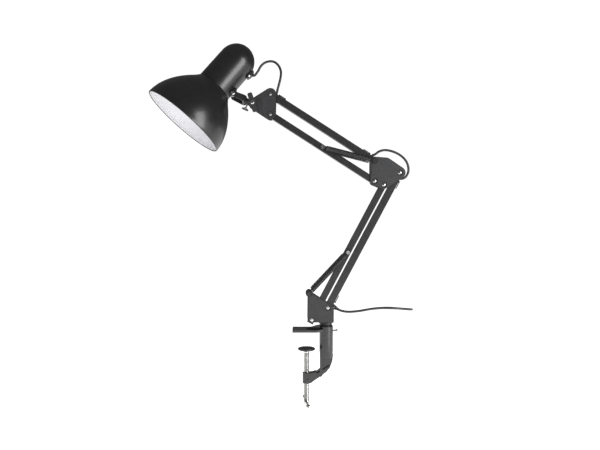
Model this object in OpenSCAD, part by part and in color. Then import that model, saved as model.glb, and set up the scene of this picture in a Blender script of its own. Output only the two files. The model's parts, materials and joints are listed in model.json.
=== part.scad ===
// Architect desk lamp with a screw clamp: two parallelogram arms balanced by tension springs, a
// swivelling base, and a spun metal shade on a tilting and turning yoke.
// Millimetres. +Z up, the arms lie in the XZ plane. The origin is on the clamp screw's axis, on the
// underside of the upper jaw, which is the top of the desk.

/* [Arms] */
// Pivot to pivot length of the lower arm
lower_arm_l = 304; // [280:1:330]
// Pivot to pivot length of the upper arm
upper_arm_l = 246; // [230:1:270]
// Lean of the lower arm from the vertical, as it stands
lower_lean = 28; // [20:1:30]
// Rise of the upper arm above the horizontal, as it stands
upper_rise = 32.8; // [25:0.1:40]
// Distance between the two pivots at each end of an arm
link_l = 40; // [38:0.5:42]
// Outer width of the plain square tubes
tube_w = 12.5; // [11:0.5:13]
// Width in the arm's plane of the tubes that carry the lead
lead_tube_w = 13.5; // [12:0.5:14]
// Wall of the square tubes
tube_wall = 1; // [0.8:0.1:1.4]

/* [Shade] */
// Diameter of the shade's mouth
mouth_d = 172; // [165:1:180]
// Tilt of the shade's axis from the vertical, as it stands
shade_tilt = 39; // [30:1:45]
// Turn of the shade about the yoke, mouth towards the front, as it stands
shade_turn = 9.5; // [0:0.5:15]
// Radius of the cap that covers the lamp holder
cap_r = 36.5; // [35.5:0.5:37]
// Full height of the shade with its cap
shade_h = 201; // [196:1:205]

/* [Clamp] */
// Diameter of the clamp screw
screw_d = 10; // [9:0.5:11]
// Gap between the jaw and the pad, as it stands
jaw_gap = 34; // [20:1:40]
// Width of the jaw plate
jaw_w = 44; // [38:1:48]
// Diameter of the pressure pad
pad_d = 35; // [30:1:38]

/* [Lead] */
// Diameter of the mains lead
lead_d = 4.8; // [4.4:0.1:5]

/* [Hidden] */

// ---- places in the XZ plane, as [x, z] ----
barrel_x = 39.4;
base_pivot = [42.5, 47];
side = link_l * [-0.8, -0.6];
base_low_pivot = base_pivot + side;
spring_stud = [5, 75.8];
lower_dir = [sin(lower_lean), cos(lower_lean)];
elbow_pivot = base_pivot + lower_arm_l * lower_dir;
elbow_low_pivot = elbow_pivot + side;
upper_pivot = elbow_pivot + [-50.2, 23.4];
upper_low_pivot = upper_pivot + [0, -link_l];
upper_dir = [-cos(upper_rise), sin(upper_rise)];
head_pivot = upper_pivot + upper_arm_l * upper_dir;
head_low_pivot = head_pivot + [0, -link_l];
nose = head_pivot + [-35, -19];
yoke_l = 43.5;
yoke_rise = 23.7;
lower_pin = base_low_pivot + lower_arm_l / 2 * lower_dir;
upper_pin = upper_low_pivot + upper_arm_l / 2 * upper_dir;

// ---- shared sizes ----
plate_in = 7;         // inner face of every side plate, from the arm's plane
plate_t = 2;
panel_t = 0.8;        // raised panel on a side plate
sink = 1.5;           // depth of the round recess at each pivot
plate_out = plate_in + plate_t + panel_t;
pin_r = 2.5;
fit = 0.05;           // radial clearance of a pin in its hole
spring_y = 15.2;      // springs run this far either side of the arm's plane
spring_r = 4.9;
wire_r = 1;
eye_r = 3.6;
tube_over = 8;        // a tube runs on past its pivots
hole_at = 9;          // the lead leaves its tube this far from the pivot
screw_pitch = 1.5;
hinge_up = 105.5;       // the hinge bolt, in the shade's own frame
hinge_out = 40;
cap_from = 93.6;
dome_from = 162;
lead_r = lead_d / 2;

charcoal = [0.13, 0.13, 0.14];
black = [0.06, 0.06, 0.065];
zinc = [0.78, 0.8, 0.82];
nylon = [0.85, 0.85, 0.8];

// ---- functions ----
function unit(v) = v / norm(v);
function mix(a, b, t) = a + (b - a) * t;

// Outline round a closed loop of circles [x, z, r], given counterclockwise and convex
function side_angle(a, b) =
    let (d = [b.x - a.x, b.y - a.y]) atan2(d.y, d.x) - acos((a.z - b.z) / norm(d));
function belt(c, steps = 6) = let (n = len(c)) [
    for (i = [0:n - 1])
        let (from = side_angle(c[(i + n - 1) % n], c[i]), to = side_angle(c[i], c[(i + 1) % n]),
            turn = (to - from + 720) % 360)
            for (k = [0:steps]) let (a = from + turn * k / steps)
                [c[i].x + c[i].z * cos(a), c[i].y + c[i].z * sin(a)]];
function shrink(c, by) = [for (p = c) [p.x, p.y, p.z - by]];

// Point on a cubic curve, and the whole curve
function cubic(p, t) = let (s = 1 - t)
    s * s * s * p[0] + 3 * s * s * t * p[1] + 3 * s * t * t * p[2] + t * t * t * p[3];
function curve(p, steps) = [for (i = [0:steps]) cubic(p, i / steps)];

// Directions across a path, carried along it without twist
function tangent(p, i) = unit(p[min(i + 1, len(p) - 1)] - p[max(i - 1, 0)]);
function carry(p, i, n) = i == len(p) ? []
    : let (t = tangent(p, i), m = unit(n - (n * t) * t)) concat([m], carry(p, i + 1, m));

// ---- building blocks ----
// Round tube along a path of points
module cord(path, r = lead_r, sides = 8, across = [0, 1, 0]) {
    n = carry(path, 0, across);
    rings = len(path);
    points = [for (i = [0:rings - 1]) let (t = tangent(path, i), b = cross(t, n[i]))
        for (k = [0:sides - 1]) path[i] + r * (cos(360 * k / sides) * n[i] + sin(360 * k / sides) * b)];
    walls = [for (i = [0:rings - 2]) for (k = [0:sides - 1]) let (m = (k + 1) % sides)
        [i * sides + k, (i + 1) * sides + k, (i + 1) * sides + m, i * sides + m]];
    polyhedron(points, concat(walls, [[for (k = [0:sides - 1]) k],
        [for (k = [sides - 1:-1:0]) (rings - 1) * sides + k]]));
}

// Cylinder across the arm's plane, at p, from y0 to y1
module across(p, r, y0, y1, fn = 48)
    translate([p.x, y0, p.y]) rotate([-90, 0, 0]) cylinder(h = y1 - y0, r = r, $fn = fn);

// Flat plate of an XZ outline, from y0 to y1
module plate(outline, y0, y1)
    translate([0, y1, 0]) rotate([90, 0, 0]) linear_extrude(y1 - y0) polygon(outline);

// Frame with its Z along an arm, from the pivot p, at the angle from the vertical
module along(p, angle) translate([p.x, 0, p.y]) rotate([0, angle, 0]) children();

module both_sides() { children(); mirror([0, 1, 0]) children(); }

// Domed rivet through both side plates
module rivet(p, head = 3.7) {
    across(p, pin_r, -plate_out, plate_out);
    both_sides() translate([p.x, plate_out - sink, p.y]) rotate([-90, 0, 0])
        rotate_extrude($fn = 48) polygon([[0, 0], [head, 0], [head, 0.5], [head * 0.8, 1.2],
            [head * 0.4, 1.6], [0, 1.7]]);
}

// Moulded side plate with a raised panel, and a round recess at each pivot. Ears are extra circles.
module side_plate(circles, pivots, ears = []) {
    difference() {
        union() {
            plate(belt(circles), plate_in, plate_in + plate_t);
            plate(belt(shrink(circles, 2)), plate_in + plate_t, plate_out);
            for (e = ears) {
                across(e, e.z, plate_in, plate_in + plate_t, 64);
                across(e, e.z - 2, plate_in + plate_t - 0.1, plate_out, 64);
            }
        }
        for (p = pivots) {
            across(p, pin_r + 0.02, plate_in - 1, plate_out + 1);
            across(p, 6.2, plate_out - sink, plate_out + 1, 64);
        }
    }
}

// Nylon washers on both sides of the tubes at each pivot
module washers(pivots)
    color(nylon) for (p = pivots) both_sides() difference() {
        across(p, 5.6, plate_in - 0.4, plate_in);
        across(p, pin_r + fit, plate_in - 1, plate_in + 1);
    }

// Square tube between two pivots, in its own frame. The lead's holes are in its +X wall.
module square_tube(length, w, holes) {
    inner = w - 2 * tube_wall;
    difference() {
        translate([-w / 2, -tube_w / 2, -tube_over]) cube([w, tube_w, length + 2 * tube_over]);
        translate([-inner / 2, -tube_w / 2 + tube_wall, -tube_over - 1])
            cube([inner, tube_w - 2 * tube_wall, length + 2 * tube_over + 2]);
        for (z = [0, length])
            translate([0, 0, z]) rotate([90, 0, 0])
                cylinder(h = tube_w + 2, r = pin_r + fit, center = true, $fn = 48);
        if (holes) for (z = [hole_at, length - hole_at])
            translate([w / 2 - 2, 0, z]) rotate([0, 90, 0]) cylinder(h = 4, r = lead_r + 0.5, $fn = 32);
        if (!holes) translate([0, 0, length / 2]) rotate([90, 0, 0])
            cylinder(h = tube_w + 2, r = 2 + 0.02, center = true, $fn = 48);
    }
}

// Clip near each end of a tube: a foot on the wall and a tongue that stands clear of it
module lead_clips(length)
    for (turn = [0, 1]) translate([0, 0, turn * length]) mirror([0, 0, turn]) {
        translate([lead_tube_w / 2 - 0.2, -3.5, 14.5]) cube([1.9, 7, 3]);
        translate([lead_tube_w / 2 + 1.6, -3, 14.6]) cube([1.1, 6, 16]);
    }

// The lead inside a tube: in at one hole and out at the other
module tube_lead(length) {
    out = lead_tube_w / 2;
    turn_in = [for (i = [0:4]) let (a = 18 * i) [out * (1 - sin(a)), 0, hole_at + 7 * (1 - cos(a))]];
    far = [for (i = [4:-1:0]) let (p = turn_in[i]) [p.x, 0, length - p.z]];
    cord(concat(turn_in, [[0, 0, length / 3], [0, 0, length * 2 / 3]], far));
}

// Coil of a tension spring, from the bolt towards the pin, in its own frame, with its first eye
module spring_coil(y, reach) {
    translate([0, y, 0]) {
        difference() {
            translate([0, 0, 8]) cylinder(h = reach - 16, r = spring_r, $fn = 40);
            translate([0, 0, 7]) cylinder(h = reach - 14, r = spring_r - 2 * wire_r + 0.6, $fn = 40);
        }
        eye(1);
    }
}

// Eye round a pin, and the wire that joins it to the coil. up is the way to the coil.
module eye(up) {
    rotate([90, 0, 0]) rotate_extrude($fn = 40) translate([eye_r, 0]) circle(wire_r, $fn = 16);
    intersection() {
        translate([0, 0, up * 6.2]) cube([3 * spring_r, 2 * wire_r, 5], center = true);
        translate([0, 0, up * 6.2]) cylinder(h = 5, r = spring_r - 2.4, center = true, $fn = 32);
    }
}

function slope(a, b) = atan2(b.x - a.x, b.y - a.y);
function reach(a, b) = norm(b - a);

// ---- clamp ----
frame_outline = [[53, -46], [51.5, -60], [47, -72], [40, -81], [30, -89], [18, -97], [8.6, -104],
    [-2, -104], [-2, -84], [10, -83], [20, -80.5], [26.6, -75], [26.6, -46]];
boss_top = -83;
boss_bottom = -104;
jaw_t = 4.5;
barrel_r = 13.7;
post_r = 6;

module clamp_frame() color(black) difference() {
    union() {
        // barrel with a rolled top edge
        translate([barrel_x, 0, 0]) rotate_extrude($fn = 72) polygon([[0, -54], [barrel_r - 2.4, -54],
            [barrel_r - 0.6, -48], [barrel_r, -40], [barrel_r, 9], [barrel_r - 1.2, 11.4],
            [barrel_r - 3, 12.4], [0, 12.4]]);
        // web, with a flange round its edge
        plate(frame_outline, -4, 4);
        intersection() {
            plate(frame_outline, -9, 9);
            union() {
                translate([26.6, -9, -90]) cube([5, 18, 50]);
                translate([-4, -9, -104]) multmatrix([[1, 0, 0, 0], [0, 1, 0, 0], [0.62, 0, 1, 0]])
                    cube([50, 18, 5]);
                translate([-4, -9, -93]) cube([24, 18, 12]);
            }
        }
        // screw boss
        translate([0, 0, boss_bottom]) cylinder(h = boss_top - boss_bottom, r = 8, $fn = 64);
        // jaw plate and its rib
        translate([0, 0, 0]) linear_extrude(jaw_t) polygon([[-28, -jaw_w / 2], [20, -jaw_w / 2],
            [34, -12], [34, 12], [20, jaw_w / 2], [-28, jaw_w / 2]]);
        plate([[-4, jaw_t - 0.5], [30, jaw_t - 0.5], [30, 12.2], [22, 11.4]], -4, 4);
        // lug behind, for the lead's strap
        translate([barrel_x - 4, 11, strap_z - 5.5]) cube([8, 8.9, 11]);
    }
    translate([barrel_x - 9, 16.8, strap_z - 3]) cube([18, 1.9, 6]);
    translate([barrel_x, 0, -30]) cylinder(h = 60, r = post_r + fit, $fn = 64);
    translate([0, 0, boss_bottom - 1]) cylinder(h = 30, r = screw_d / 2 + fit, $fn = 64);
    translate([barrel_x, 0, 0]) rotate([0, 90, 0]) cylinder(h = 20, r = 2 + fit, $fn = 40);
}

pad_t = 4.8;
module clamp_pad() color(black) difference() {
    translate([0, 0, -jaw_gap]) rotate_extrude($fn = 72) polygon([[0, -pad_t], [pad_d / 2 - 3, -pad_t],
        [pad_d / 2 - 0.8, -pad_t + 1.2], [pad_d / 2, -2.2], [pad_d / 2 - 0.7, -0.6],
        [pad_d / 2 - 2, 0], [0, 0]]);
    translate([0, 0, -jaw_gap - pad_t - 1]) cylinder(h = 4, r = 3 + fit, $fn = 48);
}

tommy_z = -142;
tommy_turn = 6;
tommy_l = 66;
tommy_r = 2.5;
module clamp_screw() color(zinc) difference() {
    union() {
        translate([0, 0, -149]) cylinder(h = 149 - jaw_gap - pad_t - 0.3, r = screw_d / 2, $fn = 64);
        translate([0, 0, -jaw_gap - pad_t - 0.6]) cylinder(h = 3, r = 3, $fn = 48);
    }
    translate([0, 0, tommy_z]) rotate([90, 0, tommy_turn])
        cylinder(h = 20, r = tommy_r + fit, center = true, $fn = 48);
}
module tommy_bar() color(zinc) translate([0, 0, tommy_z]) rotate([90, 0, tommy_turn]) {
    cylinder(h = tommy_l - 8, r = tommy_r, center = true, $fn = 48);
    for (up = [0, 1]) mirror([0, 0, up]) translate([0, 0, tommy_l / 2 - 4.4])
        rotate_extrude($fn = 48) polygon([[0, 0], [3.2, 0], [4.4, 1.6], [4.7, 3.6], [4.3, 5.8],
            [3, 7.6], [1.2, 8.4], [0, 8.5]]);
}

module lock_screw() color(zinc) translate([barrel_x, 0, 0]) rotate([0, 90, 0]) {
    translate([0, 0, post_r + 0.3]) cylinder(h = 14, r = 2, $fn = 40);
    translate([0, 0, 19]) cylinder(h = 2.6, r = 3.2, $fn = 40);
    translate([0, 0, 21.2]) rotate([90, 0, 0]) linear_extrude(2.2, center = true)
        polygon(belt([[0, 1.6, 1.6], [3.4, 2.4, 2], [-3.4, 2.4, 2]]));
}

// ---- base swivel ----
base_circles = [[9.7, 26.2, 8.2], [51.6, 20.2, 2.6], [51.2, 47.5, 3], [7.2, 72.6, 5.2]];
module swivel_post() color(zinc) translate([barrel_x, 0, 0]) {
    translate([0, 0, -28]) cylinder(h = 28 + 20.5, r = post_r, $fn = 64);
    translate([0, 0, 20.5]) cylinder(h = 3, r = 5.8, $fn = 64);
}
module thrust_washer() color(zinc) translate([barrel_x, 0, 12.8]) difference() {
    cylinder(h = 1.8, r = 11.5, $fn = 64);
    translate([0, 0, -1]) cylinder(h = 5, r = post_r + 0.02, $fn = 64);
}
module base_plate_far() color(charcoal)
    side_plate(base_circles, [base_pivot, base_low_pivot, spring_stud], [concat(spring_stud, 6.9)]);
module base_plate_near() mirror([0, 1, 0]) base_plate_far();
// Folded saddle between the plates, riveted to the post
module base_web() color(charcoal) difference() {
    union() {
        translate([24.5, 0.02 - plate_in, 16.6]) cube([29, 2 * plate_in - 0.04, 3.9]);
        translate([barrel_x, 0, 14.6]) cylinder(h = 2.3, r = 9.5, $fn = 64);
    }
    translate([barrel_x, 0, 10]) cylinder(h = 20, r = post_r + 0.02, $fn = 64);
}
module base_rivets() color(zinc) { rivet(base_pivot); rivet(base_low_pivot); }
module base_washers() washers([base_pivot, base_low_pivot]);
module base_spring_studs() color(zinc) both_sides() {
    across(spring_stud, pin_r, plate_in + 0.2, plate_out + 0.6);
    across(spring_stud, 2, plate_in + 2, 18.4);
    across(spring_stud, 3.4, 18.4, 20);
}

// ---- lower arm ----
module lower_lead_tube() color(black) along(base_pivot, lower_lean) {
    square_tube(lower_arm_l, lead_tube_w, true);
    lead_clips(lower_arm_l);
}
module lower_plain_tube() color(black) along(base_low_pivot, lower_lean)
    square_tube(lower_arm_l, tube_w, false);
module lower_lead() color(black) along(base_pivot, lower_lean) tube_lead(lower_arm_l);
module pin_through(p) {
    across(p, 2, -18.4, 18.4);
    both_sides() {
        across(p, 3.8, 18.4, 20);
        across(p, 3.4, tube_w / 2, tube_w / 2 + 3);
    }
}
module lower_spring_pin() color(zinc) pin_through(lower_pin);
module lower_spring_near() color(black) along(spring_stud, slope(spring_stud, lower_pin))
    spring_coil(-spring_y, reach(spring_stud, lower_pin));
module lower_spring_far() mirror([0, 1, 0]) lower_spring_near();
module hooks(from, to) color(black) along(to, slope(from, to))
    for (y = [-spring_y, spring_y]) translate([0, y, 0]) eye(-1);
module lower_spring_hooks() hooks(spring_stud, lower_pin);

// ---- elbow ----
elbow_circles = [concat(upper_low_pivot, 8.5), concat(elbow_low_pivot, 8.5), concat(elbow_pivot, 11.5),
    [elbow_pivot.x - 28.5, elbow_pivot.y + 14.6, 15.5], concat(upper_pivot, 8.5)];
elbow_pivots = [elbow_pivot, elbow_low_pivot, upper_low_pivot];
module elbow_plate_far() color(charcoal)
    side_plate(elbow_circles, concat(elbow_pivots, [upper_pivot]));
module elbow_plate_near() mirror([0, 1, 0]) elbow_plate_far();
module elbow_rivets() color(zinc) for (p = elbow_pivots) rivet(p);
module elbow_bolt() color(charcoal) {
    across(upper_pivot, pin_r, -19, 23);
    across(upper_pivot, 5, -22, -18.6, 6);
}
module elbow_nuts() color(charcoal) for (y = [-11, plate_out - sink, 18.6]) difference() {
    across(upper_pivot, y > 12 ? 5 : 4.4, y, y + (y > 12 ? 3.2 : 2.7), 6);
    across(upper_pivot, pin_r + 0.02, y - 1, y + 5);
}
module elbow_washers() washers(concat(elbow_pivots, [upper_pivot]));
// Loop of lead from the upper arm round the elbow to the lower arm
module elbow_lead() color(black) let (
    a = upper_pivot + hole_at * upper_dir + (lead_tube_w / 2) * [upper_dir.y, -upper_dir.x],
    b = elbow_pivot - hole_at * lower_dir + (lead_tube_w / 2) * [lower_dir.y, -lower_dir.x],
    e = elbow_pivot)
    cord([for (p = [a + [0.36, 0.55], a + [2, 3.1], [e.x - 47.6, e.y + 37.6], [e.x - 41, e.y + 42.4],
        [e.x - 31, e.y + 45.6], [e.x - 19, e.y + 44.6], [e.x - 6.5, e.y + 40.4], [e.x + 5, e.y + 33.4],
        [e.x + 13.4, e.y + 24.4], [e.x + 18, e.y + 13.6], [e.x + 18.4, e.y + 2.6],
        [e.x + 14.6, e.y - 6], [e.x + 9.4, e.y - 10.6], b + [2.8, -1.5], b + [0.6, -0.32]]) [p.x, 0, p.y]]);

// ---- upper arm ----
upper_lean = upper_rise - 90;
module upper_lead_tube() color(black) along(upper_pivot, upper_lean) {
    square_tube(upper_arm_l, lead_tube_w, true);
    lead_clips(upper_arm_l);
}
module upper_plain_tube() color(black) along(upper_low_pivot, upper_lean)
    square_tube(upper_arm_l, tube_w, false);
module upper_lead() color(black) along(upper_pivot, upper_lean) tube_lead(upper_arm_l);
module upper_spring_pin() color(zinc) pin_through(upper_pin);
module upper_spring_near() color(black) along(upper_pivot, slope(upper_pivot, upper_pin))
    spring_coil(-spring_y, reach(upper_pivot, upper_pin));
module upper_spring_far() mirror([0, 1, 0]) upper_spring_near();
module upper_spring_hooks() hooks(upper_pivot, upper_pin);

// ---- head bracket ----
head_circles = [concat(nose, 8.8), concat(head_low_pivot, 10.5), concat(head_pivot, 11.5)];
module head_plate_far() color(charcoal) difference() {
    side_plate(head_circles, [head_pivot, head_low_pivot, nose]);
    // sunk disc beside the nose
    difference() {
        across(nose + [9.8, -0.4], 9.2, plate_out - panel_t, plate_out + 1, 64);
        across(nose, 7.4, 0, plate_out + 2, 64);
    }
}
module head_plate_near() mirror([0, 1, 0]) head_plate_far();
module head_rivets() color(zinc) { rivet(head_pivot); rivet(head_low_pivot); }
module head_washers() washers([head_pivot, head_low_pivot]);
knob_out = 21;
module nose_bolt() color(zinc) {
    across(nose, pin_r, -knob_out - 0.2, 14);
    across(nose, 4.6, plate_out - sink, 13, 6);
    translate([nose.x, -knob_out, nose.y]) rotate([90, 0, 0]) rotate_extrude($fn = 48)
        polygon([[0, 0], [4.2, 0], [4.2, 0.8], [3, 1.8], [0, 2.2]]);
}
// Wing knob that tightens the head's tilt
module wing_knob() color(charcoal) difference() {
    union() {
        across(nose, 7.6, -knob_out + 0.3, -plate_out - 0.3);
        for (turn = [-17.5, 162.5]) translate([nose.x, -arm_in - arm_t - 2, nose.y]) rotate([0, turn, 0])
            rotate([90, 0, 0]) linear_extrude(4.6)
                polygon(belt([[-2.4, 5, 2.6], [2.4, 5, 2.6], [1.4, 16, 3.6], [-1.4, 16, 3.6]]));
    }
    across(nose, pin_r + fit, -30, 0);
}

// The yoke and the shade stand turned about the yoke's axis
yoke_axis = [-cos(yoke_rise), 0, sin(yoke_rise)];
module turned() translate([nose.x, 0, nose.y]) rotate(a = shade_turn, v = yoke_axis)
    translate([-nose.x, 0, -nose.y]) children();
function swung(p) = let (o = [nose.x, 0, nose.y], q = p - o)
    o + q * cos(shade_turn) + cross(yoke_axis, q) * sin(shade_turn)
    + yoke_axis * (yoke_axis * q) * (1 - cos(shade_turn));
// Frame with its X from the nose towards the shade, along the yoke
module on_yoke() translate([nose.x, 0, nose.y]) rotate([0, 180 + yoke_rise, 0]) children();
collar_at = 10.4;
module tilt_block() color(charcoal) on_yoke() difference() {
    union() {
        rotate([90, 0, 0]) cylinder(h = 13.4, r = 7.4, center = true, $fn = 56);
        rotate([0, 90, 0]) cylinder(h = 17.2, r = 6.4, $fn = 56);
    }
    rotate([90, 0, 0]) cylinder(h = 20, r = pin_r + fit, center = true, $fn = 48);
    translate([6, 0, 0]) rotate([0, 90, 0]) cylinder(h = 20, r = 3 + fit, $fn = 48);
    translate([collar_at, 0, 2]) cylinder(h = 8, r = 1.5 + fit, $fn = 32);
}
module collar_screw() color(zinc) on_yoke() translate([collar_at, 0, 0]) {
    translate([0, 0, 3.3]) cylinder(h = 10, r = 1.5, $fn = 32);
    translate([0, 0, 12]) cylinder(h = 2.4, r = 2.8, $fn = 32);
    translate([0, 1.1, 0]) rotate([90, 0, 0]) linear_extrude(2.2)
        polygon(belt([[-5, 16, 2], [0, 13.6, 1.6], [5, 16, 2]]));
}
arm_in = 11.5;
arm_t = 1.6;
module yoke() color(black) turned() on_yoke() difference() {
    union() {
        both_sides() plate(belt([[20, 0, 6.4], [yoke_l, 0, 5]]), arm_in, arm_in + arm_t);
        translate([17.5, -arm_in - arm_t, -6]) cube([3.4, 2 * (arm_in + arm_t), 12]);
        translate([6.6, 0, 0]) rotate([0, 90, 0]) cylinder(h = 11.5, r = 3, $fn = 48);
    }
    translate([yoke_l, 0, 0]) rotate([90, 0, 0]) cylinder(h = 40, r = 2 + fit, center = true, $fn = 40);
}

// ---- shade, with its Z along the shade's axis from the mouth and its X towards the arms ----
hinge = nose + yoke_l * [-cos(yoke_rise), sin(yoke_rise)];
shade_axis = [sin(shade_tilt), cos(shade_tilt)];
shade_out = [cos(shade_tilt), -sin(shade_tilt)];
mouth = hinge - hinge_up * shade_axis - hinge_out * shade_out;
module on_shade() turned() translate([mouth.x, 0, mouth.y]) rotate([0, shade_tilt, 0]) children();

bell_t = 1.2;
mouth_r = mouth_d / 2;
bell_curve = concat(
    curve([[mouth_r, 0], [mouth_r - 0.5, 30], [70, 56], [50, 78]], 9),
    [for (i = [1:4]) cubic([[50, 78], [44.5, 83.6], [40, 88.8], [cap_r + 0.8, 93.2]], i / 4)]);
module shade_bell() color(black) on_shade() union() {
    rotate_extrude($fn = 120) polygon(concat(bell_curve,
        [for (i = [len(bell_curve) - 1:-1:0]) bell_curve[i] - [bell_t, 0]]));
    // rolled rim
    rotate_extrude($fn = 120) translate([mouth_r - 1.4, 0.6]) circle(1.5, $fn = 20);
    // collar inside the cap, with the plate that the lamp holder clamps
    rotate_extrude($fn = 96) polygon([[20.4, 107.6], [cap_r - 3.2, 107.6], [cap_r - 3.2, 92.4],
        [cap_r + 0.2, 92.4], [cap_r + 0.2, 93.2], [cap_r - 2, 93.2], [cap_r - 2, 109], [20.4, 109]]);
}
module shade_cap() color(black) on_shade() difference() {
    union() {
        rotate_extrude($fn = 96) polygon(concat([[cap_r - 1.3, cap_from], [cap_r, cap_from]],
            [for (a = [0:9:90]) [cap_r * cos(a), dome_from + (shade_h - dome_from) * sin(a)]],
            [for (a = [90:-9:0]) [(cap_r - 1.3) * cos(a), dome_from + (shade_h - dome_from - 1.3) * sin(a)]]));
    }
    translate([cap_r - 8, 0, 164]) rotate([0, 90, 0]) cylinder(h = 14, r = lead_r + 0.4, $fn = 32);
    for (y = [-5, 5]) translate([cap_r - 8, y, 113]) rotate([0, 90, 0]) cylinder(h = 14, r = 1.62, $fn = 24);
}
// Hinge lug riveted to the cap, two ears and the strap that joins them
module shade_lug() color(black) on_shade() {
    difference() {
        union() {
            both_sides() plate(belt([[hinge_out, hinge_up, 4.5], [hinge_out - 1.2, 116, 2.2]]), 9.5, 11.1);
            translate([cap_r + 0.3, -11.1, 108.5]) cube([1.6, 22.2, 10]);
        }
        translate([hinge_out, 0, hinge_up]) rotate([90, 0, 0])
            cylinder(h = 40, r = 2 + 0.02, center = true, $fn = 40);
    }
    for (y = [-5, 5]) translate([0, y, 113]) rotate([0, 90, 0]) {
        translate([0, 0, cap_r - 2.4]) cylinder(h = 5, r = 1.6, $fn = 32);
        translate([0, 0, cap_r + 1.7]) cylinder(h = 1.2, r = 2.8, $fn = 32);
    }
}
module hinge_bolt() color(zinc) on_shade() translate([hinge_out, 0, hinge_up]) rotate([90, 0, 0]) {
    cylinder(h = 2 * 15.6, r = 2, center = true, $fn = 40);
    translate([0, 0, 13.4]) rotate_extrude($fn = 48)
        polygon([[0, 0], [4, 0], [4, 0.9], [2.8, 2], [0, 2.3]]);
    translate([0, 0, -16.4]) cylinder(h = 3, r = 4, $fn = 6);
}
holder_mouth = 92;
module lamp_holder() color([0.9, 0.9, 0.88]) on_shade() rotate_extrude($fn = 80) polygon([
    [13.4, holder_mouth], [18.6, holder_mouth], [20, holder_mouth + 1.4], [20, 109.2], [24, 109.2],
    [24, 112], [19, 113], [19, 140], [15, 148], [lead_r + 0.3, 148], [lead_r + 0.3, 134],
    [8, 134], [8, 126], [13.4, 122]]);
module holder_ring() color([0.9, 0.9, 0.88]) on_shade() difference() {
    translate([0, 0, 99.6]) cylinder(h = 7.8, r = 26, $fn = 80);
    translate([0, 0, 99]) cylinder(h = 10, r = 20.05, $fn = 80);
}
module holder_contacts() color([0.8, 0.65, 0.35]) on_shade() {
    translate([0, 0, 132.4]) cylinder(h = 1.6, r = 4, $fn = 32);
    translate([0, 0, 128]) cylinder(h = 5, r = 2.2, $fn = 32);
    translate([6.9, -1.8, 124.5]) cube([0.8, 3.6, 6.5]);
}
// Grip that holds the lead where it leaves the cap, with its screw
module cord_grip() color(black) on_shade() difference() {
    union() {
        translate([0, -5.5, 0]) rotate([90, 0, 0]) mirror([0, 0, 1]) linear_extrude(11)
            polygon(belt([[cap_r + 2.4, 152.6, 2], [cap_r + 3.4, 156, 2.4], [cap_r + 3.6, 166, 2.8],
                [cap_r + 2.4, 168.4, 2]]));
        translate([cap_r + 3.2, 0, 155.4]) rotate([90, 0, 0]) cylinder(h = 7.4, r = 2.5, $fn = 40);
    }
    translate([cap_r - 8, 0, 164]) rotate([0, 90, 0]) {
        cylinder(h = 30, r = lead_r + 0.06, $fn = 32);
        translate([0, 0, 11.4]) cylinder(h = 6, r1 = lead_r, r2 = lead_r + 3, $fn = 32);
    }
}
// The lead from the lamp holder out of the cap and over to the upper arm
module head_lead() color(black) let (
    in_shade = function (x, z) let (p = mouth + x * shade_out + z * shade_axis) swung([p.x, 0, p.y]),
    b = head_pivot - hole_at * upper_dir + (lead_tube_w / 2) * [upper_dir.y, -upper_dir.x],
    h = head_pivot)
    cord(concat([for (p = [[0, 140], [0, 150], [3, 158], [11, 163.2], [22, 164], [34, 164], [45, 164]])
        in_shade(p.x, p.y)],
        [for (p = [[-26.2, 8, 48.4], [-20.8, 6.9, 57.6], [-13.2, 5.6, 64.6], [-2.6, 4.2, 67.8],
            [8.2, 2.9, 65.6], [16.6, 1.8, 57.2], [20.6, 0.9, 45.8], [19.6, 0.4, 32.8],
            [16.4, 0.1, 19.6], [13.7, 0, 9.4]]) [h.x, 0, h.y] + p],
        [for (p = [b + [2, 3.1], b + [0.36, 0.55]]) [p.x, 0, p.y]]));

// ---- mains lead, its in-line switch, hank, strap and plug ----
switch_at = [41.8, 110.2, -30];
hank_y = 42;
hank_turn_r = 19.3;
hank_top = -27;
hank_bottom = -57;
hank_w = 14.6;
strap_z = -47;
plug_y = 82.2;
plug_top = -20;
plug_bottom = -53;
b_exit = base_pivot + hole_at * lower_dir + (lead_tube_w / 2) * [lower_dir.y, -lower_dir.x];
// From the lower arm's tube out to one side, round and back behind the clamp to the switch
route_out = [[b_exit.x + 0.55, 0, b_exit.y - 0.29], [b_exit.x + 2.7, 0, b_exit.y - 1.5], [58, 0, 47.8], [61.2, 0, 44.6], [66, 0, 41.3], [72, 0, 39.2],
    [80, 0, 38], [88, 0, 37.8], [98, 0, 38.6], [108, 0, 39.8], [121, 1, 42], [134, 2, 43.8],
    [147, 3, 44.8], [159, 3.5, 45.3], [170, 4, 45], [180.5, 5.5, 44], [189.5, 8, 43], [198.5, 12.8, 41.6],
    [206, 19.5, 40.1], [212.5, 27.5, 38.5], [217, 37, 37.1], [220, 47, 35.6], [221, 57.5, 34.1],
    [220, 68, 32.8], [217, 78, 31.7], [212.5, 87, 30.8], [206, 94.8, 30.2], [198.5, 101.2, 29.8],
    [189.5, 106, 29.4], [180.5, 108.9, 29.2], [170, 110.2, 29.1], [160, 110.2, 28.8], [148, 110.2, 27.8],
    [134, 110.2, 25.8], [120, 110.2, 23.5], [108, 110.2, 21.9], [98, 110.2, 21.2], [88.5, 110.2, 21.5],
    [80, 110.2, 22.7], [73, 110.2, 25], [66, 110.2, 27.6], [59, 110.2, 28.4], [52.4, 110.2, 26.4],
    [46.6, 110.2, 21], [43, 110.2, 13.4], [41.8, 110.2, 4]];
// From the switch down and up into the hank
route_to_hank = [[41.8, 110.2, -64], [41.9, 108.6, -73], [42.2, 104.2, -80.4], [42.7, 97.4, -85.6],
    [43.2, 89, -87.4], [43.6, 79, -86.6], [43.9, 68, -83.6], [44.1, 57, -79.4], [44.2, 47, -76.8]];
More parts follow.
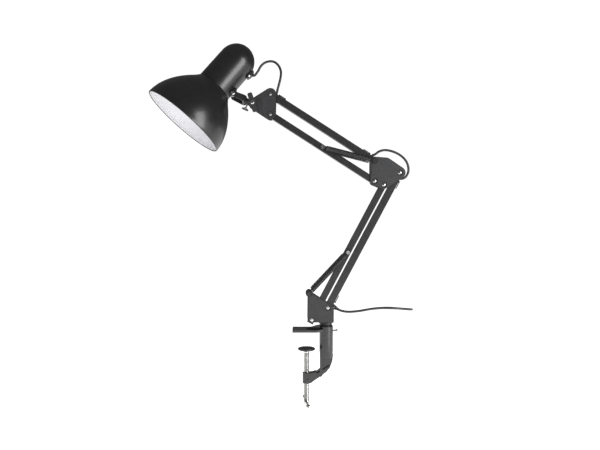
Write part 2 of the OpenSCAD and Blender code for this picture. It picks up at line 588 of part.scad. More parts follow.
// From the hank's top over and down to the plug
route_to_plug = [[48.9, 27.8, -20], [48.9, 28.6, -10], [48.4, 31.4, -1.2], [47, 37.4, 6.2],
    [45, 45.8, 11], [43, 55.3, 12.7], [41, 64.8, 11], [39.8, 73.2, 6.2], [39.4, 79.2, -1.2],
    [39.4, 82, -9], [39.4, 82.2, -16]];
module mains_lead() color(black) {
    cord(route_out);
    cord(route_to_hank, across = [1, 0, 0]);
    cord(route_to_plug, across = [1, 0, 0]);
}
module mains_hank() color(black)
    translate([barrel_x - hank_w / 2, hank_y, 0]) rotate([90, 0, 90]) linear_extrude(hank_w) difference() {
        polygon(belt([[0, hank_bottom, hank_turn_r + lead_r], [0, hank_top, hank_turn_r + lead_r]], 14));
        polygon(belt([[0, hank_bottom, hank_turn_r - 3 * lead_r], [0, hank_top, hank_turn_r - 3 * lead_r]], 14));
    }
// Strap through the lug on the clamp, round the hank and the plug
module hank_strap() color(black) translate([barrel_x, 0, strap_z - 2.5]) linear_extrude(5) difference() {
    polygon(belt([[-5.4, 20.4, 3.3], [5.4, 20.4, 3.3], [5.4, 97.4, 3.3], [-5.4, 97.4, 3.3]]));
    polygon(belt([[-5.4, 20.4, 2.1], [5.4, 20.4, 2.1], [5.4, 97.4, 2.1], [-5.4, 97.4, 2.1]]));
}
module plug_body() color(black) translate([barrel_x, plug_y, 0]) difference() {
    union() {
        linear_extrude_between(plug_bottom, plug_top)
            polygon(belt([[-3.4, -13.4, 3.5], [3.4, -13.4, 3.5], [3.4, 13.4, 3.5], [-3.4, 13.4, 3.5]]));
        translate([0, 0, plug_top - 1]) cylinder(h = 7, r1 = 5, r2 = 3.4, $fn = 40);
    }
    translate([0, 0, plug_top - 4]) cylinder(h = 20, r = lead_r + 0.02, $fn = 32);
    for (y = [-9.5, 9.5]) translate([0, y, plug_bottom - 1]) cylinder(h = 9, r = 2.02, $fn = 40);
}
module linear_extrude_between(z0, z1) translate([0, 0, z0]) linear_extrude(z1 - z0) children();
module plug_pins() color(zinc) for (y = [-9.5, 9.5]) translate([barrel_x, plug_y + y, plug_bottom - 19]) {
    translate([0, 0, 1.4]) cylinder(h = 25.6, r = 2, $fn = 40);
    cylinder(h = 1.5, r1 = 1, r2 = 2, $fn = 40);
}
// Housing of the in-line switch
module cord_switch() color(black) translate(switch_at) difference() {
    union() {
        linear_extrude_between(-26, 26)
            polygon(belt([[-8, -4.5, 4], [8, -4.5, 4], [8, 3.5, 4], [-8, 3.5, 4]]));
        for (up = [0, 1]) mirror([0, 0, up]) translate([0, 0, 24])
            cylinder(h = 10, r1 = 5, r2 = 3.2, $fn = 40);
    }
    translate([-6.2, 3, -11.2]) cube([12.4, 8, 22.4]);
    for (up = [0, 1]) mirror([0, 0, up]) translate([0, 0, 24])
        cylinder(h = 11, r = lead_r + 0.02, $fn = 32);
}
// Rocker, tipped to its off side, on its pivot
module switch_rocker() color([0.2, 0.2, 0.2]) translate(switch_at + [0, 5.6, 0]) {
    rotate([7, 0, 0]) translate([-5.8, -1, -9.6]) cube([11.6, 3.4, 19.2]);
    translate([-6.1, 0, 0]) rotate([0, 90, 0]) cylinder(h = 12.2, r = 1.6, $fn = 32);
}

clamp_frame();
clamp_pad();
clamp_screw();
tommy_bar();
lock_screw();
swivel_post();
thrust_washer();
base_plate_near();
base_plate_far();
base_web();
base_rivets();
base_washers();
base_spring_studs();
lower_lead_tube();
lower_plain_tube();
lower_lead();
lower_spring_pin();
lower_spring_near();
lower_spring_far();
lower_spring_hooks();
elbow_plate_near();
elbow_plate_far();
elbow_rivets();
elbow_bolt();
elbow_nuts();
elbow_washers();
elbow_lead();
upper_lead_tube();
upper_plain_tube();
upper_lead();
upper_spring_pin();
upper_spring_near();
upper_spring_far();
upper_spring_hooks();
head_plate_near();
head_plate_far();
head_rivets();
head_washers();
nose_bolt();
wing_knob();
tilt_block();
collar_screw();
yoke();
shade_lug();
hinge_bolt();
shade_bell();
shade_cap();
lamp_holder();
holder_ring();
holder_contacts();
cord_grip();
head_lead();
mains_lead();
mains_hank();
hank_strap();
plug_body();
plug_pins();
cord_switch();
switch_rocker();
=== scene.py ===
import json
import math

import bpy
from mathutils import Matrix, Vector


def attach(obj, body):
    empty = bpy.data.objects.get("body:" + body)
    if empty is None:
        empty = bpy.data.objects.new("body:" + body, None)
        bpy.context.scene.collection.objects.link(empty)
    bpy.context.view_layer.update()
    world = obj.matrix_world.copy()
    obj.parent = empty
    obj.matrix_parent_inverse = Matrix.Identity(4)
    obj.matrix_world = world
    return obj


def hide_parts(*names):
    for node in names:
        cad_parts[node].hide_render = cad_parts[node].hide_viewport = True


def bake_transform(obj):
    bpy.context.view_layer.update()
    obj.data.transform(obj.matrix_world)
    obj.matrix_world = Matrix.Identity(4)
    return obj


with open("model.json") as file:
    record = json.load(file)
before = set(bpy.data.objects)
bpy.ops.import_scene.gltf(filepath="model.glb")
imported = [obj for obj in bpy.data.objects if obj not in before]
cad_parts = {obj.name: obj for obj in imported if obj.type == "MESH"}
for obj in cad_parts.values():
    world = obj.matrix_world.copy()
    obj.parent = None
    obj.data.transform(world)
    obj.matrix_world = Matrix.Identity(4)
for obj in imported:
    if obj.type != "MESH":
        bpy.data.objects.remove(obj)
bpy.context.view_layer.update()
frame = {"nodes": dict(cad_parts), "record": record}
scene = bpy.context.scene
nodes = frame["nodes"]


def mm(*v):
    return Vector(v) / 1000


# ---------------------------------------------------------------- camera

cam = bpy.data.objects.new("camera", bpy.data.cameras.new("camera"))
scene.collection.objects.link(cam)
cam.location = mm(-13, -1150, 211.4)
cam.rotation_euler = (math.radians(90), 0, 0)
cam.data.sensor_width = 36
cam.data.lens = 34.5
cam.data.clip_end = 20
scene.camera = cam

# ---------------------------------------------------------------- mesh helpers


def mesh_object(name, verts, faces, smooth=True):
    mesh = bpy.data.meshes.new(name)
    mesh.from_pydata([tuple(v) for v in verts], [], faces)
    mesh.validate()
    mesh.update()
    if smooth:
        mesh.polygons.foreach_set("use_smooth", [True] * len(mesh.polygons))
    ob = bpy.data.objects.new(name, mesh)
    scene.collection.objects.link(ob)
    return ob


def smooth_path(points, step=2.0):
    """Catmull-Rom curve through the points, in steps of about that many millimetres."""
    p = [Vector(q) for q in points]
    p = [2 * p[0] - p[1]] + p + [2 * p[-1] - p[-2]]
    out = []
    for i in range(1, len(p) - 2):
        a, b, c, d = p[i - 1 : i + 3]
        n = max(1, round((c - b).length / step))
        for k in range(n):
            t = k / n
            out.append(
                0.5
                * (
                    2 * b
                    + (c - a) * t
                    + (2 * a - 5 * b + 4 * c - d) * t**2
                    + (3 * b - a - 3 * c + d) * t**3
                )
            )
    out.append(p[-2])
    return out


def tube(name, path, r, sides=16, across=(0, 1, 0)):
    """Closed round tube along a path. Path and radius are in millimetres."""
    n = len(path)
    verts, faces = [], []
    normal = Vector(across)
    for i, p in enumerate(path):
        t = (path[min(i + 1, n - 1)] - path[max(i - 1, 0)]).normalized()
        normal = (normal - normal.dot(t) * t).normalized()
        other = t.cross(normal)
        for k in range(sides):
            a = 2 * math.pi * k / sides
            verts.append(
                (p + r * (math.cos(a) * normal + math.sin(a) * other)) / 1000
            )
    for i in range(n - 1):
        for k in range(sides):
            m = (k + 1) % sides
            faces.append(
                (
                    i * sides + k,
                    i * sides + m,
                    (i + 1) * sides + m,
                    (i + 1) * sides + k,
                )
            )
    faces.append(tuple(reversed(range(sides))))
    faces.append(tuple((n - 1) * sides + k for k in range(sides)))
    ob = mesh_object(name, verts, faces)
    for f in ob.data.polygons[-2:]:
        f.use_smooth = False
    return ob


def revolve(name, profile, place, sides=128):
    """Turns a closed profile of (radius, height) round a local Z.

    place maps a local point to the part's frame."""
    verts, faces = [], []
    n = len(profile)
    for r, h in profile:
        for k in range(sides):
            a = 2 * math.pi * k / sides
            verts.append(place(r * math.cos(a), r * math.sin(a), h) / 1000)
    for i in range(n):
        j = (i + 1) % n
        for k in range(sides):
            m = (k + 1) % sides
            faces.append((i * sides + k, i * sides + m, j * sides + m, j * sides + k))
    return mesh_object(name, verts, faces)


# ---------------------------------------------------------------- materials


def material(
    name,
    colour,
    roughness=0.4,
    metallic=0.0,
    specular=0.5,
    grain=None,
    vary=0.0,
    wear=None,
    coat=0.0,
):
    """Principled material with some wear.

    grain is (texture scale per metre, bump height in metres), vary is how much the roughness
    wanders, and wear is the colour that patches drift to.
    """
    m = bpy.data.materials.new(name)
    m.use_nodes = True
    nt = m.node_tree
    bsdf = nt.nodes["Principled BSDF"]
    bsdf.inputs["Base Color"].default_value = (*colour, 1)
    bsdf.inputs["Roughness"].default_value = roughness
    bsdf.inputs["Metallic"].default_value = metallic
    bsdf.inputs["Specular IOR Level"].default_value = specular
    bsdf.inputs["Coat Weight"].default_value = coat
    bsdf.inputs["Coat Roughness"].default_value = 0.15
    where = nt.nodes.new("ShaderNodeTexCoord")
    if vary:
        wide = nt.nodes.new("ShaderNodeTexNoise")
        wide.inputs["Scale"].default_value = 38
        wide.inputs["Detail"].default_value = 5
        nt.links.new(where.outputs["Object"], wide.inputs["Vector"])
        spread = nt.nodes.new("ShaderNodeMapRange")
        spread.inputs["To Min"].default_value = roughness - vary
        spread.inputs["To Max"].default_value = roughness + vary
        nt.links.new(wide.outputs["Fac"], spread.inputs["Value"])
        nt.links.new(spread.outputs["Result"], bsdf.inputs["Roughness"])
    if wear:
        patches = nt.nodes.new("ShaderNodeTexNoise")
        patches.inputs["Scale"].default_value = 90
        patches.inputs["Detail"].default_value = 8
        patches.inputs["Roughness"].default_value = 0.7
        nt.links.new(where.outputs["Object"], patches.inputs["Vector"])
        ramp = nt.nodes.new("ShaderNodeValToRGB")
        ramp.color_ramp.elements[0].position = 0.35
        ramp.color_ramp.elements[0].color = (*colour, 1)
        ramp.color_ramp.elements[1].position = 0.75
        ramp.color_ramp.elements[1].color = (*wear, 1)
        nt.links.new(patches.outputs["Fac"], ramp.inputs["Fac"])
        nt.links.new(ramp.outputs["Color"], bsdf.inputs["Base Color"])
    if grain:
        scale, height = grain
        fine = nt.nodes.new("ShaderNodeTexNoise")
        fine.inputs["Scale"].default_value = scale
        fine.inputs["Detail"].default_value = 3
        nt.links.new(where.outputs["Object"], fine.inputs["Vector"])
        bump = nt.nodes.new("ShaderNodeBump")
        bump.inputs["Strength"].default_value = 1
        bump.inputs["Distance"].default_value = height
        nt.links.new(fine.outputs["Fac"], bump.inputs["Height"])
        nt.links.new(bump.outputs["Normal"], bsdf.inputs["Normal"])
    return m


enamel = material(
    "shade enamel", (0.006, 0.006, 0.0065), 0.32, grain=(420, 0.00004), vary=0.05,
    wear=(0.009, 0.009, 0.0095), coat=0.2
)
white_enamel = material(
    "white enamel", (0.7, 0.7, 0.72), 0.4, grain=(420, 0.00004), vary=0.06, wear=(0.67, 0.67, 0.69)
)
tube_paint = material(
    "tube powder coat", (0.01, 0.01, 0.0105), 0.36, grain=(900, 0.00006), vary=0.08,
    wear=(0.017, 0.017, 0.018)
)
moulded = material(
    "moulded charcoal", (0.016, 0.016, 0.017), 0.5, grain=(1500, 0.00007), vary=0.07,
    wear=(0.022, 0.022, 0.024)
)
cast_paint = material(
    "casting paint", (0.008, 0.008, 0.0085), 0.27, grain=(160, 0.0002), vary=0.07,
    wear=(0.013, 0.013, 0.014), coat=0.2
)
pad_plastic = material(
    "pad plastic", (0.02, 0.02, 0.021), 0.42, grain=(1100, 0.00005), vary=0.08,
    wear=(0.03, 0.03, 0.03)
)
zinc = material(
    "zinc plate", (0.66, 0.66, 0.65), 0.26, 1.0, grain=(700, 0.00003), vary=0.09,
    wear=(0.5, 0.49, 0.47)
)
nickel = material(
    "bright nickel", (0.74, 0.73, 0.71), 0.16, 1.0, grain=(500, 0.00002), vary=0.06,
    wear=(0.62, 0.61, 0.59)
)
spring_steel = material(
    "blackened spring steel", (0.03, 0.03, 0.031), 0.34, 0.6, grain=(1300, 0.00003), vary=0.09,
    wear=(0.055, 0.055, 0.057)
)
nylon = material(
    "natural nylon", (0.72, 0.72, 0.68), 0.45, grain=(900, 0.00004), vary=0.06,
    wear=(0.66, 0.66, 0.6)
)
sheath = material(
    "lead sheath", (0.014, 0.014, 0.015), 0.38, grain=(600, 0.00006), vary=0.08,
    wear=(0.022, 0.022, 0.023)
)
moulding = material(
    "black moulding", (0.018, 0.018, 0.019), 0.34, grain=(1400, 0.00005), vary=0.07,
    wear=(0.026, 0.026, 0.028)
)
holder_white = material(
    "holder plastic", (0.8, 0.8, 0.77), 0.35, grain=(900, 0.00004), vary=0.06,
    wear=(0.72, 0.72, 0.68)
)
brass = material(
    "contact brass", (0.72, 0.54, 0.26), 0.25, 1.0, grain=(700, 0.00003), vary=0.07,
    wear=(0.55, 0.4, 0.2)
)

by_slot = {
    "cast_black": cast_paint,
    "tube_black": tube_paint,
    "shade_black": enamel,
    "bracket_black": moulded,
    "pad_black": pad_plastic,
    "zinc": zinc,
    "spring_black": spring_steel,
    "nylon": nylon,
    "lead_black": sheath,
    "moulding_black": moulding,
    "holder_white": holder_white,
    "brass": brass,
}


def dress(ob, mat):
    ob.data.materials.clear()
    ob.data.materials.append(mat)
    return ob


# ---------------------------------------------------------------- places, in millimetres, [x, z]


def at(p, y=0.0):
    return Vector((p[0], y, p[1]))


def turned(angle):
    """Unit direction at that angle from the vertical, towards +X."""
    return Vector((math.sin(math.radians(angle)), math.cos(math.radians(angle))))


lower_lean, upper_rise, yoke_rise, shade_lean = 28, 32.8, 23.7, 39
lower_arm_l, upper_arm_l, yoke_l = 304, 246, 43.5
hinge_up, hinge_out = 105.5, 40
lower_dir = turned(lower_lean)
lower_across = turned(lower_lean + 90)
upper_dir = turned(upper_rise - 90)
upper_across = turned(upper_rise)
base_pivot = Vector((42.5, 47))
side = Vector((-32, -24))
elbow_pivot = base_pivot + lower_arm_l * lower_dir
upper_pivot = elbow_pivot + Vector((-50.2, 23.4))
upper_low_pivot = upper_pivot + Vector((0, -40))
head_pivot = upper_pivot + upper_arm_l * upper_dir
nose = head_pivot + Vector((-35, -19))
yoke_dir = turned(yoke_rise - 90)
hinge = nose + yoke_l * yoke_dir
shade_dir = turned(shade_lean)
shade_side = turned(shade_lean + 90)
mouth = hinge - hinge_up * shade_dir - hinge_out * shade_side
shade_turn = Matrix.Rotation(math.radians(9.5), 3, (yoke_dir[0], 0, yoke_dir[1]))
spring_stud = Vector((5, 75.8))
lower_pin = base_pivot + side + lower_arm_l / 2 * lower_dir
upper_pin = upper_low_pivot + upper_arm_l / 2 * upper_dir
lead_r = 2.4
tube_half = 6.75
hole_at = 9  # from a pivot to the hole where the lead leaves its tube


def in_shade(x, y, z):
    p = mouth + x * shade_side + z * shade_dir
    return at(nose) + shade_turn @ (at(p, y) - at(nose))


# ---------------------------------------------------------------- the mains lead

arm_hole = base_pivot + hole_at * lower_dir + tube_half * lower_across
run = [
    (72, 0, 39.2), (80, 0, 38), (88, 0, 37.8), (98, 0, 38.6), (108, 0, 39.8), (121, 1, 42),
    (134, 2, 43.8), (147, 3, 44.8), (159, 3.5, 45.3), (170, 4, 45), (180.5, 5.5, 44),
    (189.5, 8, 43), (198.5, 12.8, 41.6), (206, 19.5, 40.1), (212.5, 27.5, 38.5), (217, 37, 37.1),
    (220, 47, 35.6), (221, 57.5, 34.1), (220, 68, 32.8), (217, 78, 31.7), (212.5, 87, 30.8),
    (206, 94.8, 30.2), (198.5, 101.2, 29.8), (189.5, 106, 29.4), (180.5, 108.9, 29.2),
    (170, 110.2, 29.1), (160, 110.2, 28.8), (148, 110.2, 27.8), (134, 110.2, 25.8),
    (120, 110.2, 23.5), (108, 110.2, 21.9), (98, 110.2, 21.2), (88.5, 110.2, 21.5),
    (80, 110.2, 22.7), (73, 110.2, 25), (66, 110.2, 27.6), (59, 110.2, 28.4), (52.4, 110.2, 26.4),
    (46.6, 110.2, 21), (43, 110.2, 13.4), (41.8, 110.2, 4), (41.8, 110.2, -3)
]
near_arm = [
    at(arm_hole - 1.5 * lower_across), at(arm_hole + 1.2 * lower_across), (58, 0, 47.8),
    (61.2, 0, 44.6), (66, 0, 41.3), (72, 0, 39.2)
]
start_path = smooth_path(near_arm, 1.5)
run_path = smooth_path(run)
lead_start = dress(tube("mains_lead_start", start_path, lead_r), sheath)
lead_run = dress(tube("mains_lead_run", run_path, lead_r), sheath)

# The hank: three turns side by side outside and two more inside them. Each goes up on the near
# side and down on the far side.
column = [44.2, 39.4, 34.6]
outer_r, inner_r, hank_y, hank_top, hank_low = 19.3, 14.5, 42, -27, -57


def ease(t):
    t = min(1.0, max(0.0, t))
    return t * t * (3 - 2 * t)


def turn_of_hank(x0, x1, r0, r1, early):
    """One turn from the bottom, up the near side, over, and down the far side.

    It shifts from x0 to x1 and from radius r0 to r1 on its way down.
    """
    pts = []
    for i in range(9):
        a = math.radians(90 * i / 8)
        pts.append((x0, hank_y - r0 * math.sin(a), hank_low - r0 * math.cos(a)))
    for i in range(1, 5):
        pts.append((x0, hank_y - r0, hank_low + 30 * i / 5))
    for i in range(17):
        a = math.radians(180 * i / 16)
        t = ease((i - 12) / 9) if early else 0
        pts.append((x0 + (x1 - x0) * t, hank_y - r0 * math.cos(a), hank_top + r0 * math.sin(a)))
    t0 = ease(4 / 9) if early else 0
    for i in range(1, 7):
        z = hank_top - 30 * i / 6
        t = t0 + (1 - t0) * (ease(i / 3) if early else ease((i - 2) / 4))
        if r0 != r1:
            t = ease(i / 4)
        pts.append((x0 + (x1 - x0) * t, hank_y + r0 + (r1 - r0) * t, z))
    for i in range(1, 8):
        a = math.radians(90 * i / 8)
        pts.append((x1, hank_y + r1 * math.cos(a), hank_low - r1 * math.sin(a)))
    return pts


entry = [
    (41.8, 110.2, -57), (41.8, 110.2, -64), (41.9, 108.6, -73), (42.2, 104.2, -80.4),
    (42.7, 97.4, -85.6), (43.2, 89, -87.4), (43.6, 79, -86.6), (43.9, 68, -83.6), (44.1, 57, -79.4),
    (44.2, 49, -76.9)
]
turns = (
    turn_of_hank(column[0], column[1], outer_r, outer_r, False)
    + turn_of_hank(column[1], column[2], outer_r, outer_r, False)
    + turn_of_hank(column[2], column[2], outer_r, inner_r, False)
    + turn_of_hank(column[2], column[1], inner_r, inner_r, True)
    + turn_of_hank(column[1], column[0], inner_r, inner_r, True)
)
last = [
    (
        column[0], hank_y - inner_r * math.sin(math.radians(a)),
        hank_low - inner_r * math.cos(math.radians(a))
    ) for a in (0, 15, 30, 45, 60, 75, 90)
]
leave = [
    (44.2, 27.5, -50), (45, 27.5, -42), (47, 27.5, -33), (48.6, 27.6, -25), (48.9, 27.8, -20),
    (48.9, 28.6, -10), (48.4, 31.4, -1.2), (47, 37.4, 6.2), (45, 45.8, 11), (43, 55.3, 12.7),
    (41, 64.8, 11), (39.8, 73.2, 6.2), (39.4, 79.2, -1.2), (39.4, 82, -9), (39.4, 82.2, -16),
    (39.4, 82.2, -22)
]
stow_path = smooth_path(entry + turns + last + leave, 2.0)
lead_stowed = dress(
    tube("mains_lead_stowed", stow_path, lead_r, 12, (1, 0, 0)), sheath
)

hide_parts("mains_lead")
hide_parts("mains_lead")
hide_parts("mains_hank", "mains_lead")
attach(lead_stowed, "clamp")
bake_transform(lead_start)
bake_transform(lead_run)

# ---------------------------------------------------------------- the two loops of lead on the arm

a = upper_pivot + hole_at * upper_dir + tube_half * upper_across
b = elbow_pivot - hole_at * lower_dir + tube_half * lower_across
e = elbow_pivot
over = [
    a - 1.5 * upper_across, a + 1.5 * upper_across, e + Vector((-47.6, 37.6)),
    e + Vector((-41, 42.4)), e + Vector((-31, 45.6)), e + Vector((-19, 44.6)),
    e + Vector((-6.5, 40.4))
]
down = [
    e + Vector((-6.5, 40.4)), e + Vector((5, 33.4)), e + Vector((13.4, 24.4)),
    e + Vector((18, 13.6)), e + Vector((18.4, 2.6)), e + Vector((14.6, -6)),
    e + Vector((9.4, -10.4)), b + 1.5 * lower_across, b - 1.5 * lower_across
]
loop = smooth_path([at(p) for p in over + down[1:]], 1.5)
middle = min(range(len(loop)), key=lambda i: (loop[i] - at(over[-1])).length)
elbow_lead_upper = dress(tube("elbow_lead_upper", loop[: middle + 1], lead_r), sheath)
elbow_lead_lower = dress(tube("elbow_lead_lower", loop[middle:], lead_r), sheath)
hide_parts("elbow_lead")
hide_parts("elbow_lead")
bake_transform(elbow_lead_upper)
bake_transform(elbow_lead_lower)

h = head_pivot
b = h - hole_at * upper_dir + tube_half * upper_across
in_cap = [(0, 140), (0, 150), (3, 158), (11, 163.2), (22, 164), (34, 164), (45, 164)]
over_head = [
    (-26.2, 8, 48.4), (-20.8, 6.9, 57.6), (-13.2, 5.6, 64.6), (-2.6, 4.2, 67.8), (8.2, 2.9, 65.6),
    (16.6, 1.8, 57.2), (20.6, 0.9, 45.8), (19.6, 0.4, 32.8), (16.4, 0.1, 19.6), (13.7, 0, 9.4),
]
head_points = [in_shade(x, 0, z) for x, z in in_cap] + [at(h) + Vector(p) for p in over_head]
head_points += [at(b + 2 * upper_across), at(b - 1.5 * upper_across)]
loop = smooth_path(head_points, 1.5)
marks = [in_shade(40, 0, 164)] + [at(h) + Vector(over_head[i]) for i in (1, 3, 5)]
cuts = [min(range(len(loop)), key=lambda i: (loop[i] - m).length) for m in marks]
stretch_of = [
    (0, cuts[0]), (cuts[0], cuts[1]), (cuts[1], cuts[2]), (cuts[2], cuts[3]),
    (cuts[3], len(loop) - 1)
]
for i, (s, t) in enumerate(stretch_of):
    part = dress(tube(f"head_lead_{i + 1}", loop[s : t + 1], lead_r), sheath)
    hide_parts("head_lead")
    if i == 0:
        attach(part, "shade")
    else:
        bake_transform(part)

# ---------------------------------------------------------------- springs


def spring(name, anchor, pin, y, stands_for):
    """Close-wound tension spring with a round eye at each end, as one wire."""
    d = (pin - anchor).normalized()
    reach = (pin - anchor).length
    across = Vector((d[1], -d[0]))
    wire, coil_r, eye_r = 0.95, 3.95, 3.6
    pitch = 2.02  # a little over two wire radii, so the turns lie close

    def place(s, u, v):
        """s along the spring, u across it in the arm's plane, v along Y."""
        p = anchor + s * d + u * across
        return Vector((p[0], y + v, p[1]))

    pts = []
    for i in range(20):
        t = math.radians(60 + 300 * i / 19)
        pts.append(place(eye_r * math.cos(t), eye_r * math.sin(t), 0))
    pts.append(place(5.2, 0.6, 0))
    pts.append(place(7, 2, 0))
    start, end = 8.6, reach - 8.6
    count = int((end - start) / pitch)
    per = 16
    for i in range(count * per + 1):
        t = 2 * math.pi * i / per
        along = start + (end - start) * i / (count * per)
        pts.append(place(along, coil_r * math.cos(t), coil_r * math.sin(t)))
    pts.append(place(reach - 7, 2, 0))
    pts.append(place(reach - 5.2, 0.6, 0))
    for i in range(20):
        t = math.radians(180 + 300 * i / 19)
        pts.append(place(reach + eye_r * math.cos(t), eye_r * math.sin(t), 0))
    ob = dress(tube(name, pts, wire, 8), spring_steel)
    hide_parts(*stands_for)
    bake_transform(ob)
    return ob


for name, y in (("near", -15.2), ("far", 15.2)):
    spring(
        f"lower_tension_spring_{name}", spring_stud, lower_pin, y,
        (f"lower_spring_{name}", "lower_spring_hooks")
    )
    spring(
        f"upper_tension_spring_{name}", upper_pivot, upper_pin, y,
        (f"upper_spring_{name}", "upper_spring_hooks")
    )

# ---------------------------------------------------------------- shade


def bezier(p, n):
    """Points on the cubic curve of four control points, in n steps."""
    out = []
    for i in range(n + 1):
        t, s = i / n, 1 - i / n
        weights = (s**3, 3 * s * s * t, 3 * s * t * t, t**3)
        out.append(tuple(sum(w * q[k] for w, q in zip(weights, p)) for k in (0, 1)))
    return out


cap_r, cap_wall, dome_from, cap_top = 36.5, 1.2, 162, 201
dome_h = cap_top - dome_from
bell_sides = 160
outside = bezier([(86, 0), (85.5, 30), (70, 56), (50, 78)], 40) + bezier(
    [(50, 78), (44.5, 83.6), (40, 88.8), (cap_r + 0.8, 93.2)], 16
)[1:]
inside = [(r - 1.1, z) for r, z in reversed(outside)]
rim = [
    (
        84.6 + 1.5 * math.cos(math.radians(t)), 0.6 + 1.5 * math.sin(math.radians(t))
    ) for t in range(-170, 31, 25)
]
collar = [
    (cap_r - 2, 93.2), (cap_r - 2, 109), (20.4, 109), (20.4, 107.6), (cap_r - 3.4, 107.6),
    (cap_r - 3.4, 92.4)
]
profile = rim + outside[2:] + collar + inside[:-2]
bell = revolve("shade_bell_spun", profile, in_shade, bell_sides)
bell.data.materials.append(enamel)
bell.data.materials.append(white_enamel)
white_from = len(rim) + len(outside) - 2 + len(collar) - 3
for f in bell.data.polygons:
    ring = f.index // bell_sides
    f.material_index = 1 if ring >= white_from else 0
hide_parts("shade_bell")
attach(bell, "shade")

cap_outer = [
    (cap_r - cap_wall, 93.7), (cap_r - 0.5, 93.7), (cap_r - 0.1, 94.1), (cap_r, 94.8), (cap_r, 130),
    (cap_r, 158)
] + [
    (
        cap_r * math.cos(math.radians(t)), dome_from + dome_h * math.sin(math.radians(t))
    ) for t in range(0, 90, 4)
] + [(0.6, cap_top)]
cap_inner = [(0.6, cap_top - cap_wall)] + [
    (
        (cap_r - cap_wall) * math.cos(math.radians(t)),
        dome_from + (dome_h - cap_wall) * math.sin(math.radians(t))
    ) for t in range(88, -1, -4)
]
cap = revolve("shade_cap_drawn", cap_outer + cap_inner, in_shade, 128)
dress(cap, enamel)
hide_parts("shade_cap")
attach(cap, "shade")

# Cheese-head screw of the lead's grip
grip_screw = revolve(
    "grip_screw",
    [(0.01, 9.2), (1.1, 9.2), (1.3, 8.9), (2, 8.8), (2.3, 8.4), (2.3, 7), (0.01, 7)],
    lambda x, y, z: in_shade(39.7 + x, -z, 155.4 + y),
    32,
)
dress(grip_screw, nickel)
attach(grip_screw, "shade")

# ---------------------------------------------------------------- clamp screw with its thread


def threaded(name, r, depth, pitch, z0, z1, sides=32):
    verts, faces = [], []
    shape = [(0.0, r), (0.13, r), (0.44, r - depth), (0.57, r - depth), (0.88, r)]
    turns = (z1 - z0) / pitch
    steps = int(turns * sides)
    per = len(shape)
    for i in range(steps + 1):
        t = 2 * math.pi * i / sides
        for at_z, rr in shape:
            z = min(max(z0 + pitch * (i / sides - 1 + at_z), z0), z1)
            verts.append(Vector((rr * math.cos(t), rr * math.sin(t), z)) / 1000)
    for i in range(steps):
        for k in range(per - 1):
            faces.append((i * per + k, (i + 1) * per + k, (i + 1) * per + k + 1, i * per + k + 1))
        if i + sides <= steps:
            faces.append(
                (
                    i * per + per - 1, (i + 1) * per + per - 1,
                    (i + 1 + sides) * per if i + 1 + sides <= steps else (i + sides) * per,
                    (i + sides) * per
                )
            )
    return mesh_object(name, verts, faces)


screw = threaded("clamp_screw_thread", 5, 0.85, 1.5, -136, -44)
ends = revolve(
    "clamp_screw_shank",
    [
        (0.01, -149), (3.6, -149), (4.6, -148.2), (5, -147), (5, -136), (4.14, -135.6),
        (4.14, -44.4), (4.8, -43.8), (4.8, -40), (3, -39.4), (3, -36.6), (0.01, -36.6)
    ],
    lambda x, y, z: Vector((x, y, z)),
    48,
)
for ob in (screw, ends):
    dress(ob, zinc)
    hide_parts("clamp_screw")
    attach(ob, "clamp_screw")

# ---------------------------------------------------------------- the CAD nodes that stay

slot_of = {s["node"]: s["material_slot"] for s in frame["record"]["subparts"]}
bright = ("base_rivets", "elbow_rivets", "head_rivets", "hinge_bolt", "nose_bolt")
edge = {
    "clamp_frame": (1.4, 3),
    "lower_lead_tube": (0.7, 2),
    "lower_plain_tube": (0.7, 2),
    "upper_lead_tube": (0.7, 2),
    "upper_plain_tube": (0.7, 2),
    "wing_knob": (1.2, 3),
    "yoke": (0.35, 2),
    "tilt_block": (0.5, 2),
    "cord_grip": (0.8, 3),
    "cord_switch": (1.2, 3),
    "plug_body": (1.0, 3),
    "switch_rocker": (0.8, 3),
    "hank_strap": (0.3, 2),
    "collar_screw": (0.5, 2),
    "lock_screw": (0.5, 2),
    "shade_lug": (0.3, 2),
    "base_web": (0.4, 2),
    "elbow_bolt": (0.4, 2),
    "elbow_nuts": (0.3, 2),
    "holder_ring": (1.2, 3),
    "lamp_holder": (0.6, 2),
    "clamp_pad": (0.4, 2),
}
for name in slot_of:
    ob = nodes[name]
    mat = nickel if name in bright else by_slot[slot_of[name]]
    ob.data.materials.clear()
    ob.data.materials.append(mat)
    width, steps = edge.get(name, (0.35, 2) if "plate" in name else (0.15, 1))
    flat = ob.modifiers.new("flat", "DECIMATE")
    flat.decimate_type = "DISSOLVE"
    flat.angle_limit = math.radians(0.6)
    round_off = ob.modifiers.new("edge", "BEVEL")
    round_off.width = width / 1000
    round_off.segments = steps
    round_off.limit_method = "ANGLE"
    round_off.angle_limit = math.radians(38)
    round_off.use_clamp_overlap = True
    round_off.harden_normals = False
    for f in ob.data.polygons:
        f.use_smooth = True
    even = ob.modifiers.new("even", "WEIGHTED_NORMAL")
    even.keep_sharp = True

# ---------------------------------------------------------------- light and floor

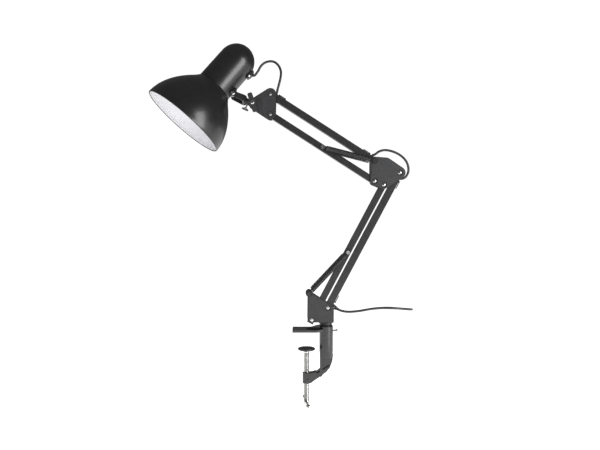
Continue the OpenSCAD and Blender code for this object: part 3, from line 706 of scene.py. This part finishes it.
# The floor lies below the clamp screw's lowest travel
floor_z = -0.2
floor = mesh_object(
    "floor", [Vector((x, y, floor_z)) for x, y in ((-9, -4), (9, -4), (9, 14), (-9, 14))],
    [(0, 1, 2, 3)], False
)
paper = material("floor paper", (0.9, 0.9, 0.9), 0.9, specular=0.1)
paper.node_tree.nodes["Principled BSDF"].inputs["Emission Color"].default_value = (1, 1, 1, 1)
paper.node_tree.nodes["Principled BSDF"].inputs["Emission Strength"].default_value = 1.0
floor.data.materials.append(paper)

world = bpy.data.worlds.new("studio")
scene.world = world
world.use_nodes = True
nt = world.node_tree
backdrop = nt.nodes["Background"]
backdrop.inputs["Color"].default_value = (1, 1, 1, 1)
backdrop.inputs["Strength"].default_value = 1.05
room = nt.nodes.new("ShaderNodeBackground")
room.inputs["Color"].default_value = (1, 1, 1, 1)
room.inputs["Strength"].default_value = 0.12
seen_or_lit = nt.nodes.new("ShaderNodeMixShader")
nt.links.new(nt.nodes.new("ShaderNodeLightPath").outputs["Is Camera Ray"], seen_or_lit.inputs[0])
nt.links.new(room.outputs[0], seen_or_lit.inputs[1])
nt.links.new(backdrop.outputs[0], seen_or_lit.inputs[2])
nt.links.new(seen_or_lit.outputs[0], nt.nodes["World Output"].inputs["Surface"])


def softbox(name, place, towards, size, power, in_gloss=True):
    light = bpy.data.lights.new(name, "AREA")
    light.shape = "RECTANGLE"
    light.size, light.size_y = size
    light.energy = power
    ob = bpy.data.objects.new(name, light)
    scene.collection.objects.link(ob)
    ob.location = place
    ob.visible_glossy = in_gloss
    ob.rotation_euler = (Vector(towards) - Vector(place)).to_track_quat("-Z", "Y").to_euler()
    return ob


softbox("side", (1.15, -1.0, 0.35), (-0.15, 0, 0.35), (0.7, 1.2), 20)
softbox("top", (-0.3, -0.5, 1.9), (-0.1, 0, 0.3), (1.6, 1.2), 18, in_gloss=False)
softbox("low_fill", (-1.3, -1.0, -0.05), (-0.25, 0, 0.4), (1.0, 0.8), 8, in_gloss=False)
softbox("front_fill", (0.1, -1.6, 0.5), (0, 0, 0.2), (1.2, 1.2), 8, in_gloss=False)
scene.view_settings.view_transform = "Standard"
scene.view_settings.look = "None"
